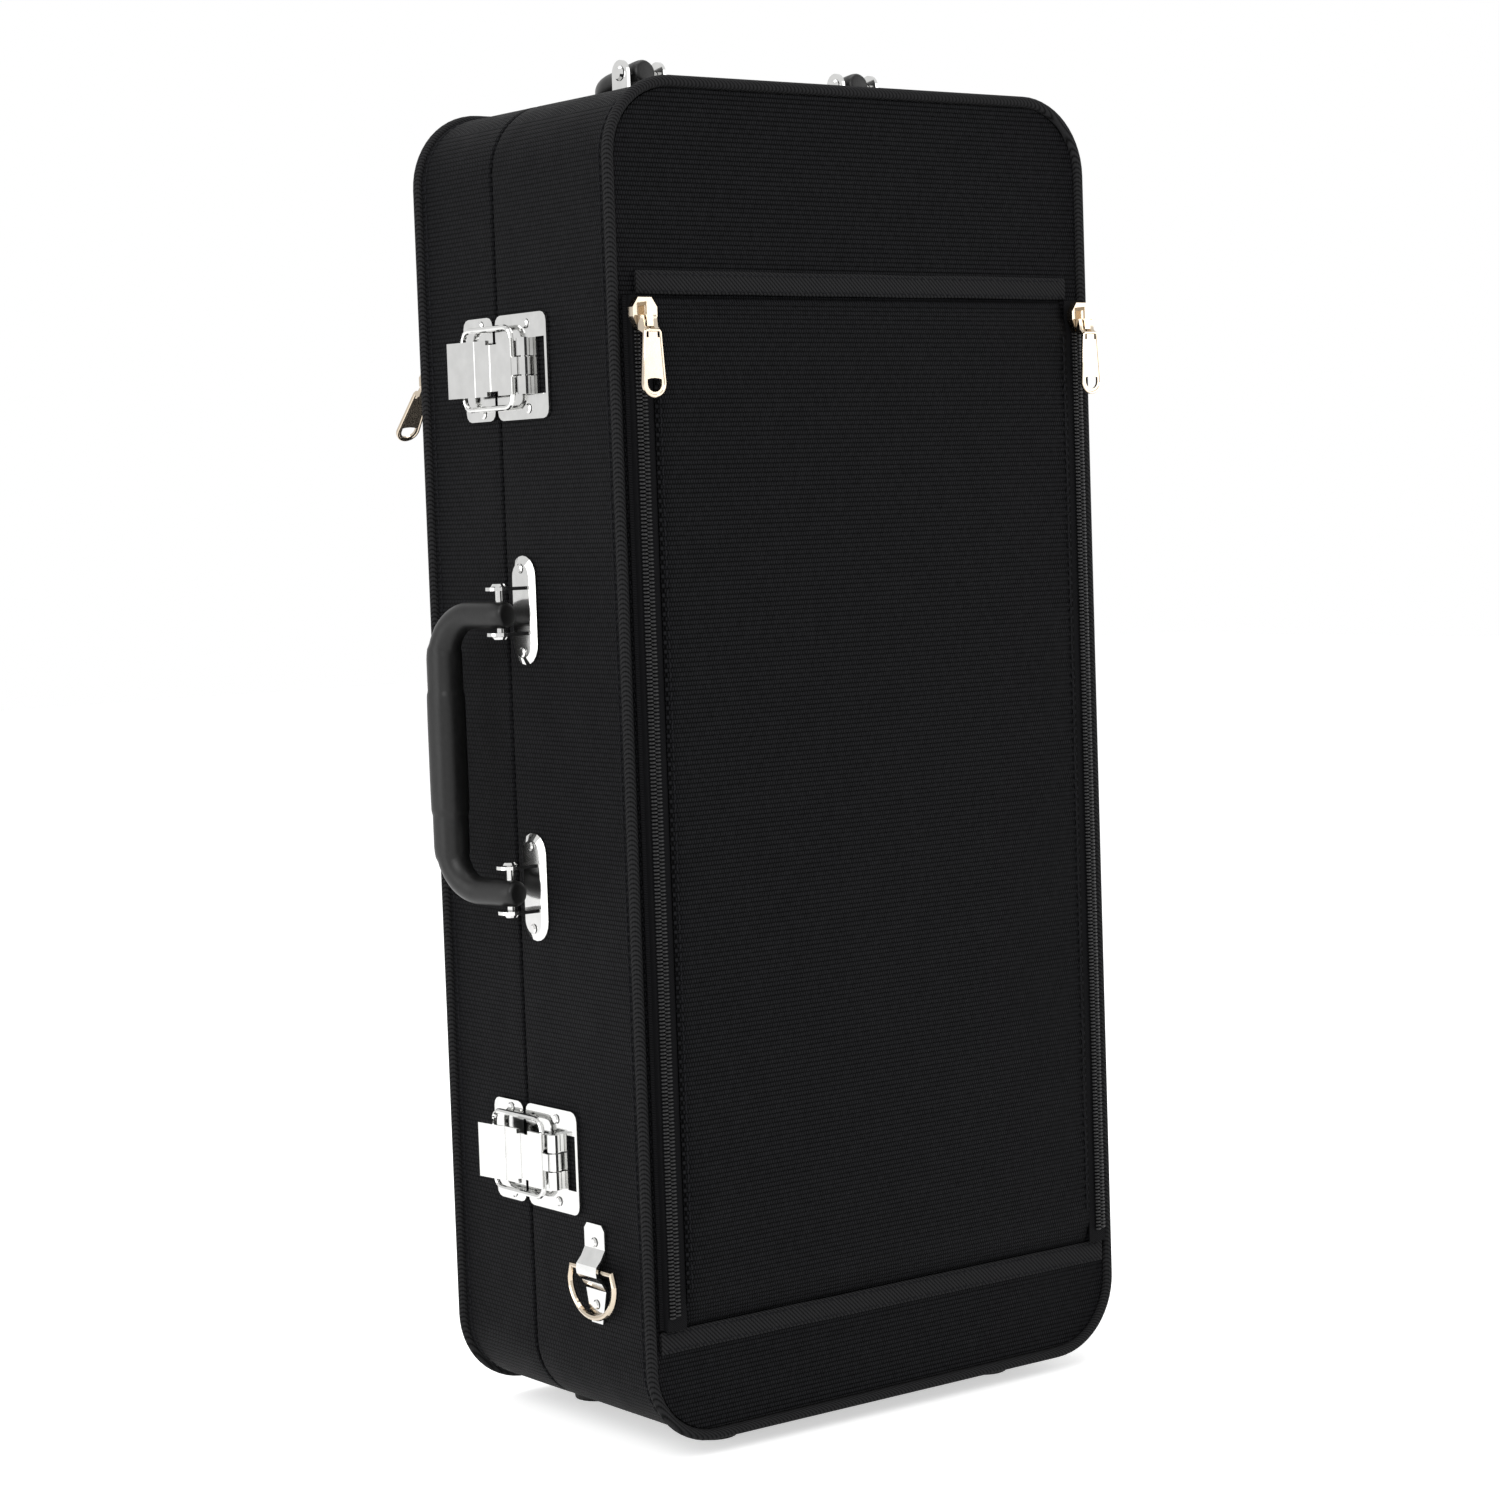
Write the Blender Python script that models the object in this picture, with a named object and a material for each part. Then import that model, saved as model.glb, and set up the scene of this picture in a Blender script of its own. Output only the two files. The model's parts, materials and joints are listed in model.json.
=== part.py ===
"""Upright trumpet case with latches, folding handles and zipped pockets, in metres, +Z up.

The case stands on one short end. Its front pocket faces -Y, the latches are at -X and the
hinge is at +X. The deep front shell is the body and the shallow back shell is the lid.
"""
import math

import bmesh
import bpy
from mathutils import Matrix, Vector

# Clearance between pieces that touch
GAP = 0.0003

# Shells
WIDTH = 0.2595
HEIGHT = 0.570
DEPTH = 0.148
CORNER_RADIUS = 0.032
WALL = 0.007
SEAM_Y = 0.0145
SEAM_GAP = 0.001
CORNER_STEPS = 7

# Piping round the front and back edges
PIPING_RADIUS = 0.0024
PIPING_REBATE = (PIPING_RADIUS + GAP) * math.sqrt(2.0)

# Lip that lines the two shells up
LIP_THICKNESS = 0.0025
LIP_IN_BODY = 0.004
LIP_IN_LID = 0.006

# Foam insert and its pockets
INSERT_SIDE_GAP = 0.003
INSERT_BELOW_SEAM = 0.002
BELL_RADIUS = 0.0625
BELL_POCKET_LENGTH = 0.150
BELL_TUBE_RADIUS = 0.016
BELL_AXIS_X = 0.038
TRUMPET_POCKET_WIDTH = 0.105
TRUMPET_POCKET_LENGTH = 0.330
TRUMPET_POCKET_DEPTH = 0.058
TRUMPET_POCKET_Z = 0.340
ACCESSORY_WIDTH = 0.046
ACCESSORY_LENGTH = 0.170
ACCESSORY_DEPTH = 0.050
ACCESSORY_X = -0.086
ACCESSORY_Z = 0.420
ACCESSORY_LID_THICKNESS = 0.004
MOUTHPIECE_RADIUS = 0.0145
MOUTHPIECE_DEPTH = 0.060
MOUTHPIECE_Z = (0.070, 0.120)
LID_PAD_THICKNESS = 0.006

# Pockets
PANEL_PROUD = 0.0070
PANEL_CLOTH = 0.0013
PANEL_HALF_WIDTH = 0.1145
PANEL_SLOPE = 0.012
POCKET_BOTTOM_Z = 0.0490
POCKET_TOP_Z = 0.4815
TAPE_HEIGHT = 0.0103
TAPE_THICKNESS = 0.0015
TOP_TAPE_HALF_WIDTH = 0.1188
BOTTOM_TAPE_HALF_WIDTH = 0.1255

# Zips
ZIP_X = 0.1210
ZIP_PROUD = 0.0060
ZIP_TAPE = 0.0009
COIL_WIDTH = 0.0062
COIL_PROUD = 0.0012
SLIDER_LENGTH = 0.0130
SLIDER_WIDTH = 0.0122
SLIDER_THICKNESS = 0.0034
SLIDER_TOP_Z = 0.4800
BACK_SLIDER_TOP_Z = 0.4600
PULLER_LENGTH = 0.0330
PULLER_TOP_WIDTH = 0.0085
PULLER_END_WIDTH = 0.0115
PULLER_THICKNESS = 0.0016
PULLER_HOLE_RADIUS = 0.0030
BACK_PULLER_LEAN = math.radians(40.0)

# Latches, in the side frame: u to the back from the case's middle, v out, w up
LATCH_Z = (0.1140, 0.4560)
LATCH_PLATE_FRONT_U = -0.0260
LATCH_PLATE_HALF = 0.0225
PLATE_THICKNESS = 0.0012
LATCH_AXIS_U = -0.0127
LATCH_AXIS_V = 0.0046
KNUCKLE_RADIUS = 0.0030
KNUCKLE_HALF = 0.0120
LEVER_PIN_RADIUS = 0.0012
LEVER_HALF = 0.0120
LEVER_THICKNESS = 0.0012
LEVER_TOP_V = 0.0084
LEVER_TIP_U = 0.0377
LEVER_TIP_V = 0.0112
BAIL_WIRE = 0.0012
BAIL_NEAR_U = -0.0037
BAIL_FAR_U = 0.0345
BAIL_V = 0.0047
BAIL_HALF = 0.0171
BAIL_CORNER = 0.0050
KEEPER_BACK_U = 0.0388
KEEPER_RIDGE_U = 0.0295
KEEPER_RIDGE_LENGTH = 0.0060
KEEPER_RIVET_U = 0.0250
LATCH_RIVET_U = -0.0105
RIVET_W = 0.0180
RIVET_RADIUS = 0.0013
RIVET_HEAD_RADIUS = 0.0022
RIVET_HEAD = 0.0007
BACKING_THICKNESS = 0.0012

# Handles, in their own frame: u to the back, v out of the case, w along the pins
SIDE_HANDLE_Z = 0.2920
HANDLE_PIN_SPACING = 0.1198
HANDLE_REACH = 0.0366
HANDLE_ARM_RADIUS = 0.0059
HANDLE_GRIP_RADIUS = 0.0073
HANDLE_CORNER = 0.0190
HANDLE_BOSS = 0.0050
PIN_STANDOFF = 0.0135
PIN_RADIUS = 0.0015
PIN_BORE = 0.0018
PIN_HEAD_RADIUS = 0.0034
PIN_HEAD = 0.0011
EAR_SPACING = 0.0195
EAR_THICKNESS = 0.0015
EAR_HALF_WIDTH = 0.0058
BRACKET_LENGTH = 0.0470
BRACKET_WIDTH = 0.0186
BRACKET_HEIGHT = 0.0020
BRACKET_RIVET_W = 0.0180
SIDE_HANDLE_FOLD = math.radians(10.0)
TOP_HANDLE_FOLD = math.radians(-9.0)
SIDE_HANDLE_DROP = 0.0015

# Strap tabs and rings, low on both sides
TAB_Y = -0.0365
TAB_TOP_Z = 0.0900
TAB_BOTTOM_Z = 0.0470
TAB_BAR_Z = 0.0705
TAB_WIDTH = 0.0150
RING_WIRE = 0.0014
RING_WIDTH = 0.0360
RING_HEIGHT = 0.0235
RING_V = 0.0034

# Feet
FOOT_X = 0.0780
FOOT_Y = 0.0440
FOOT_RADIUS = 0.0125
FOOT_HEIGHT = 0.0100

# Hinge along the +X side
HINGE_LENGTH = 0.4680
HINGE_KNUCKLES = 9
HINGE_LEAF = 0.0180
HINGE_LEAF_THICKNESS = 0.0010
HINGE_BARREL = 0.0026
HINGE_PIN = 0.0012
HINGE_RUNNING_GAP = 0.0002

FRONT_Y = -DEPTH / 2.0
BACK_Y = DEPTH / 2.0
SIDE_X = WIDTH / 2.0
MATERIALS = {}


def clear_scene():
    for old in list(bpy.data.objects):
        bpy.data.objects.remove(old, do_unlink=True)
    for old in list(bpy.data.collections):
        bpy.data.collections.remove(old)


def make_collection(name):
    made = bpy.data.collections.new(name)
    bpy.context.scene.collection.children.link(made)
    return made


def material(name, colour, roughness, metallic=0.0):
    made = bpy.data.materials.new(name)
    made.use_nodes = True
    shader = made.node_tree.nodes["Principled BSDF"]
    shader.inputs["Base Color"].default_value = (*colour, 1.0)
    shader.inputs["Roughness"].default_value = roughness
    shader.inputs["Metallic"].default_value = metallic
    made.diffuse_color = (*colour, 1.0)
    MATERIALS[name] = made


def make_materials():
    material("black_nylon", (0.012, 0.012, 0.015), 0.85)
    material("twill_tape", (0.018, 0.018, 0.020), 0.80)
    material("zip_tape", (0.015, 0.015, 0.016), 0.75)
    material("chrome", (0.78, 0.77, 0.74), 0.12, 1.0)
    material("nickel", (0.72, 0.66, 0.56), 0.18, 1.0)
    material("handle_plastic", (0.012, 0.012, 0.012), 0.38)
    material("plush", (0.02, 0.02, 0.03), 0.95)
    material("foot_rubber", (0.03, 0.03, 0.03), 0.7)


def frame_matrix(u, v, w, origin):
    columns = Matrix((u, v, w)).transposed().to_4x4()
    return Matrix.Translation(origin) @ columns


def side_frame(z):
    return frame_matrix((0, 1, 0), (-1, 0, 0), (0, 0, 1), (-SIDE_X, 0, z))


def right_frame(z, y):
    return frame_matrix((0, -1, 0), (1, 0, 0), (0, 0, 1), (SIDE_X, y, z))


def top_frame():
    return frame_matrix((0, 1, 0), (0, 0, 1), (1, 0, 0), (0, 0, HEIGHT))


def add_object(name, shape, look, where=None, hidden=False):
    """Links a bmesh, or a mesh, as one named object under the case's origin."""
    if isinstance(shape, bmesh.types.BMesh):
        bmesh.ops.recalc_face_normals(shape, faces=shape.faces)
        data = bpy.data.meshes.new(name)
        shape.to_mesh(data)
        shape.free()
    else:
        data = shape
    data.materials.clear()
    data.materials.append(MATERIALS[look])
    made = bpy.data.objects.new(name, data)
    (CUTTERS if hidden else PARTS).objects.link(made)
    made.parent = ORIGIN
    made.matrix_local = where if where is not None else Matrix.Identity(4)
    if hidden:
        made.hide_render = True
        made.display_type = "WIRE"
    else:
        data.shade_smooth()
        data.set_sharp_from_angle(angle=math.radians(32.0))
    return made


def boolean(target, operand, operation):
    change = target.modifiers.new(operation.lower(), "BOOLEAN")
    change.operation = operation
    change.solver = "EXACT"
    change.object = operand


def cut(target, shape, where=None):
    tool = add_object(target.name + "_cut", shape, "chrome", where, hidden=True)
    boolean(target, tool, "DIFFERENCE")


def join(target, shape, where=None):
    tool = add_object(target.name + "_join", shape, "chrome", where, hidden=True)
    boolean(target, tool, "UNION")


def box(size, centre):
    shape = bmesh.new()
    bmesh.ops.create_cube(shape, size=1.0, matrix=Matrix.Translation(centre) @ Matrix.Diagonal((*size, 1.0)))
    return shape


def span(low, high):
    """A box between two opposite corners."""
    low, high = Vector(low), Vector(high)
    return box(high - low, (low + high) / 2.0)


def rod(radius, start, end, sides=16, end_radius=None):
    """A cylinder or cone between two points."""
    shape = bmesh.new()
    start, end = Vector(start), Vector(end)
    along = end - start
    turn = along.to_track_quat("Z", "Y").to_matrix().to_4x4()
    bmesh.ops.create_cone(
        shape, cap_ends=True, segments=sides, radius1=radius,
        radius2=radius if end_radius is None else end_radius, depth=along.length,
        matrix=Matrix.Translation((start + end) / 2.0) @ turn)
    return shape


def outline(width, height, radius, steps=CORNER_STEPS):
    """Points of a rounded rectangle about its middle, as (across, up)."""
    radius = max(radius, 0.0005)
    points = []
    for corner in range(4):
        middle = math.radians(45.0 + 90.0 * corner)
        across = math.copysign(width / 2.0 - radius, math.cos(middle))
        up = math.copysign(height / 2.0 - radius, math.sin(middle))
        for step in range(steps + 1):
            angle = math.radians(90.0 * corner + 90.0 * step / steps)
            points.append((across + radius * math.cos(angle), up + radius * math.sin(angle)))
    return points


def case_ring(inset, y):
    """The case's outline drawn in by inset, at depth y."""
    ring = outline(WIDTH - 2 * inset, HEIGHT - 2 * inset, CORNER_RADIUS - inset)
    return [Vector((x, y, z + HEIGHT / 2.0)) for x, z in ring]


def loft(rings, closed=False):
    """Skins rings of equal length, and caps the ends unless the loft closes on itself."""
    shape = bmesh.new()
    loops = [[shape.verts.new(point) for point in ring] for ring in rings]
    pairs = list(zip(loops, loops[1:]))
    if closed:
        pairs.append((loops[-1], loops[0]))
    else:
        shape.faces.new(loops[0])
        shape.faces.new(loops[-1])
    for first, second in pairs:
        for i in range(len(first)):
            shape.faces.new((first[i - 1], first[i], second[i], second[i - 1]))
    return shape


def slab(points, low, high):
    """Extrudes an outline of (u, w) points from v = low to v = high."""
    return loft([[Vector((u, low, w)) for u, w in points], [Vector((u, high, w)) for u, w in points]])


def strip(points, thickness, low, high):
    """A bent sheet: a path of (u, v) points with a thickness, from w = low to w = high."""
    path = [Vector((u, v)) for u, v in points]
    rings = []
    for i, point in enumerate(path):
        before = (point - path[i - 1]).normalized() if i else (path[1] - point).normalized()
        after = (path[i + 1] - point).normalized() if i + 1 < len(path) else before
        normal = Vector((-(before + after).y, (before + after).x)).normalized()
        reach = thickness / 2.0 / max(0.5, normal.dot(Vector((-before.y, before.x))))
        over, under = point + normal * reach, point - normal * reach
        rings.append([Vector((over.x, over.y, low)), Vector((over.x, over.y, high)),
                      Vector((under.x, under.y, high)), Vector((under.x, under.y, low))])
    return loft(rings)


def arc(centre, radius, start, end, steps):
    """Points on an arc about a (u, v) centre, with angles in degrees."""
    points = []
    for step in range(steps + 1):
        angle = math.radians(start + (end - start) * step / steps)
        points.append((centre[0] + radius * math.cos(angle), centre[1] + radius * math.sin(angle)))
    return points


def tube(name, points, radius, look, where=None, cyclic=False, weights=None, resolution=2, hidden=False):
    """A bent wire or tube, as a mesh with welded caps."""
    curve = bpy.data.curves.new(name, "CURVE")
    curve.dimensions = "3D"
    curve.bevel_depth = radius
    curve.bevel_resolution = resolution
    curve.use_fill_caps = not cyclic
    line = curve.splines.new("POLY")
    line.points.add(len(points) - 1)
    for i, point in enumerate(points):
        line.points[i].co = (*point, 1.0)
        line.points[i].radius = weights[i] if weights else 1.0
    line.use_cyclic_u = cyclic
    guide = bpy.data.objects.new(name + "_line", curve)
    CUTTERS.objects.link(guide)
    bpy.context.view_layer.update()
    data = bpy.data.meshes.new_from_object(guide.evaluated_get(bpy.context.evaluated_depsgraph_get()))
    bpy.data.objects.remove(guide, do_unlink=True)
    shape = bmesh.new()
    shape.from_mesh(data)
    bpy.data.meshes.remove(data)
    bmesh.ops.remove_doubles(shape, verts=shape.verts, dist=0.00001)
    return add_object(name, shape, look, where, hidden)


def shell(name, seam_y, end_y):
    """A tray from the seam to an end face, with a rebate for its piping."""
    towards = 1.0 if end_y > seam_y else -1.0
    rings = [
        case_ring(WALL, end_y - towards * WALL),
        case_ring(WALL, seam_y),
        case_ring(0.0, seam_y),
        case_ring(0.0, end_y - towards * PIPING_REBATE),
        case_ring(PIPING_REBATE, end_y),
    ]
    return add_object(name, loft(rings), "black_nylon")


def make_shells():
    body = shell("body_shell", SEAM_Y - SEAM_GAP / 2, FRONT_Y)
    lid = shell("lid_shell", SEAM_Y + SEAM_GAP / 2, BACK_Y)
    tube("body_piping", case_ring(0.0, FRONT_Y), PIPING_RADIUS, "twill_tape", cyclic=True)
    tube("lid_piping", case_ring(0.0, BACK_Y), PIPING_RADIUS, "twill_tape", cyclic=True)
    outer = WALL + GAP
    low, high = SEAM_Y - LIP_IN_BODY, SEAM_Y + LIP_IN_LID
    rings = [case_ring(outer, low), case_ring(outer, high),
             case_ring(outer + LIP_THICKNESS, high), case_ring(outer + LIP_THICKNESS, low)]
    add_object("opening_lip", loft(rings, closed=True), "twill_tape")
    return body, lid


def make_insert():
    """Foam that fills the body, with pockets for the trumpet, mouthpieces and small things."""
    inset = WALL + INSERT_SIDE_GAP
    floor = FRONT_Y + WALL + GAP
    top = SEAM_Y - LIP_IN_BODY - GAP
    foam = add_object("foam_insert", loft([case_ring(inset, floor), case_ring(inset, top)]), "plush")
    above = top + 0.02
    cut(foam, span((BELL_AXIS_X - TRUMPET_POCKET_WIDTH / 2, top - TRUMPET_POCKET_DEPTH,
                    TRUMPET_POCKET_Z - TRUMPET_POCKET_LENGTH / 2),
                   (BELL_AXIS_X + TRUMPET_POCKET_WIDTH / 2, above,
                    TRUMPET_POCKET_Z + TRUMPET_POCKET_LENGTH / 2)))
    bell_z = WALL + 0.020
    cut(foam, rod(BELL_RADIUS, (BELL_AXIS_X, 0, bell_z),
                  (BELL_AXIS_X, 0, bell_z + BELL_POCKET_LENGTH + 0.02), 28, BELL_TUBE_RADIUS))
    cut(foam, span((ACCESSORY_X - ACCESSORY_WIDTH / 2, top - ACCESSORY_DEPTH,
                    ACCESSORY_Z - ACCESSORY_LENGTH / 2),
                   (ACCESSORY_X + ACCESSORY_WIDTH / 2, above, ACCESSORY_Z + ACCESSORY_LENGTH / 2)))
    for z in MOUTHPIECE_Z:
        cut(foam, rod(MOUTHPIECE_RADIUS, (ACCESSORY_X, top - MOUTHPIECE_DEPTH, z), (ACCESSORY_X, above, z), 20))
    hinge_x = ACCESSORY_X - ACCESSORY_WIDTH / 2
    low = top - ACCESSORY_LID_THICKNESS
    door = span((GAP, -ACCESSORY_LID_THICKNESS, -ACCESSORY_LENGTH / 2 + GAP),
                (ACCESSORY_WIDTH - GAP, 0, ACCESSORY_LENGTH / 2 - GAP))
    add_object("accessory_lid", door, "plush",
               Matrix.Translation((hinge_x, low + ACCESSORY_LID_THICKNESS, ACCESSORY_Z)))
    pad_low = BACK_Y - WALL - GAP - LID_PAD_THICKNESS
    pad = loft([case_ring(inset, pad_low), case_ring(inset, BACK_Y - WALL - GAP)])
    add_object("lid_pad", pad, "plush")


def pocket_panel(name, face_y, out, open_right):
    """A raised cloth panel, hollow behind, open at the sides that its zips close."""
    base = face_y + out * GAP
    front = face_y + out * PANEL_PROUD
    half = PANEL_HALF_WIDTH

    def ring(y, side_inset, end_inset):
        return [Vector((x, y, z)) for x, z in (
            (-half + side_inset, POCKET_BOTTOM_Z + end_inset), (half - side_inset, POCKET_BOTTOM_Z + end_inset),
            (half - side_inset, POCKET_TOP_Z - end_inset), (-half + side_inset, POCKET_TOP_Z - end_inset))]

    panel = add_object(name, loft([ring(base, 0.0, 0.0), ring(front, 0.0, PANEL_SLOPE)]), "black_nylon")
    right = half + 0.01 if open_right else half - PANEL_CLOTH
    inside = span((-half - 0.01, min(base - out * 0.01, front - out * PANEL_CLOTH),
                   POCKET_BOTTOM_Z + PANEL_SLOPE),
                  (right, max(base - out * 0.01, front - out * PANEL_CLOTH), POCKET_TOP_Z - PANEL_SLOPE))
    cut(panel, inside)
    return panel


def zip_strip(name, side, face_y, out):
    """One zip: tape that rises from the shell to the panel's edge, with its coil."""
    foot = SIDE_X - PIPING_REBATE - 0.0006
    seat = GAP + ZIP_TAPE / 2
    rise = ZIP_PROUD - ZIP_TAPE
    path = [(foot, seat), (foot - 0.0008, seat + 0.001), (ZIP_X + COIL_WIDTH / 2, rise),
            (PANEL_HALF_WIDTH + GAP, rise)]
    low, high = POCKET_BOTTOM_Z + GAP, POCKET_TOP_Z - GAP
    where = frame_matrix((side, 0, 0), (0, out, 0), (0, 0, side * out), (0, face_y, 0))
    ends = sorted((low * side * out, high * side * out))
    strip_object = add_object(name, strip(path, ZIP_TAPE, *ends), "zip_tape", where)
    coil = span((ZIP_X - COIL_WIDTH / 2, rise - ZIP_TAPE / 4, ends[0] + 0.004),
                (ZIP_X + COIL_WIDTH / 2, rise + ZIP_TAPE / 2 + COIL_PROUD, ends[1] - 0.004))
    join(strip_object, coil, where)


def slider_and_puller(name, x, face_y, out, top_z, lean):
    """A zip's slider with a bridge, and the pull tab that swings on it."""
    seat = ZIP_PROUD - ZIP_TAPE / 2 + COIL_PROUD + GAP
    where = frame_matrix((out, 0, 0), (0, out, 0), (0, 0, 1), (x, face_y, top_z))
    top = seat + SLIDER_THICKNESS
    half = SLIDER_WIDTH / 2
    shape = [(-half * 0.55, 0.0), (-half, -0.004), (-half, -SLIDER_LENGTH * 0.6), (-half * 0.6, -SLIDER_LENGTH),
             (half * 0.6, -SLIDER_LENGTH), (half, -SLIDER_LENGTH * 0.6), (half, -0.004), (half * 0.55, 0.0)]
    body = add_object(name + "_slider", slab(shape, seat, top), "nickel", where)
    bridge_v = top + 0.0034
    for low, high in ((-0.0035, -0.0020), (-SLIDER_LENGTH + 0.0010, -SLIDER_LENGTH + 0.0025)):
        join(body, span((-0.0016, top - 0.0005, low), (0.0016, bridge_v, high)), where)
    join(body, span((-0.0016, bridge_v - 0.0010, -SLIDER_LENGTH + 0.0010), (0.0016, bridge_v, -0.0020)), where)
    pivot = Vector((0.0, (top + bridge_v - 0.0010) / 2.0, -SLIDER_LENGTH + 0.0048))
    swing = where @ Matrix.Translation(pivot) @ Matrix.Rotation(lean, 4, "X")
    end, wide, narrow = -PULLER_LENGTH, PULLER_END_WIDTH / 2, PULLER_TOP_WIDTH / 2
    plate_v = bridge_v - pivot.y + GAP + PULLER_THICKNESS / 2
    bow = arc((0.0, end + wide), wide, 180.0, 360.0, 8)
    blade = [(narrow, -0.0040), (-narrow, -0.0040)] + bow
    puller = add_object(name + "_puller", slab(blade, plate_v - PULLER_THICKNESS / 2,
                                               plate_v + PULLER_THICKNESS / 2), "nickel", swing)
    for side in (-1, 1):
        near, far = sorted((side * 0.0021, side * narrow))
        join(puller, span((near, -0.0010, -0.0100), (far, plate_v + PULLER_THICKNESS / 2, -0.0042)), swing)
        join(puller, span((near, -0.0010, -0.0080), (far, 0.0010, 0.0)), swing)
        join(puller, rod(0.0010, (near, 0, 0), (far, 0, 0), 12), swing)
    join(puller, rod(0.0007, (-narrow + 0.0004, 0, 0), (narrow - 0.0004, 0, 0), 8), swing)
    cut(puller, rod(PULLER_HOLE_RADIUS, (0, plate_v - 0.01, end + wide), (0, plate_v + 0.01, end + wide), 14), swing)


def make_pockets():
    pocket_panel("front_pocket_panel", FRONT_Y, -1.0, True)
    pocket_panel("back_pocket_panel", BACK_Y, 1.0, False)
    low = FRONT_Y - GAP - TAPE_THICKNESS
    add_object("pocket_top_tape", span((-TOP_TAPE_HALF_WIDTH, low, POCKET_TOP_Z + GAP),
                                       (TOP_TAPE_HALF_WIDTH, FRONT_Y - GAP, POCKET_TOP_Z + TAPE_HEIGHT)),
               "twill_tape")
    add_object("pocket_bottom_tape", span((-BOTTOM_TAPE_HALF_WIDTH, low, POCKET_BOTTOM_Z - TAPE_HEIGHT),
                                          (BOTTOM_TAPE_HALF_WIDTH, FRONT_Y - GAP, POCKET_BOTTOM_Z - GAP)),
               "twill_tape")
    zip_strip("zip_left", -1.0, FRONT_Y, -1.0)
    zip_strip("zip_right", 1.0, FRONT_Y, -1.0)
    zip_strip("back_zip", -1.0, BACK_Y, 1.0)
    slider_and_puller("left_zip", -ZIP_X, FRONT_Y, -1.0, SLIDER_TOP_Z, 0.0)
    slider_and_puller("right_zip", ZIP_X, FRONT_Y, -1.0, SLIDER_TOP_Z, 0.0)
    slider_and_puller("back_zip", -ZIP_X, BACK_Y, 1.0, BACK_SLIDER_TOP_Z, BACK_PULLER_LEAN)


def rivets(name, where, spots, head_v, depth, plate_low, plate_high, walls):
    """Rivets through a wall, joined by the backing plate inside it."""
    inner = -depth - GAP
    plate = span((plate_low[0], inner - BACKING_THICKNESS, plate_low[1]), (plate_high[0], inner, plate_high[1]))
    made = add_object(name, plate, "chrome", where)
    for u, w in spots:
        join(made, rod(RIVET_RADIUS, (u, inner - BACKING_THICKNESS / 2, w), (u, head_v + RIVET_HEAD / 2, w), 10), where)
        join(made, rod(RIVET_HEAD_RADIUS, (u, head_v, w), (u, head_v + RIVET_HEAD, w), 12,
                       RIVET_HEAD_RADIUS * 0.7), where)
        for wall in walls:
            cut(wall, rod(RIVET_RADIUS + GAP, (u, -depth - 0.002, w), (u, 0.02, w), 10), where)


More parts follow.
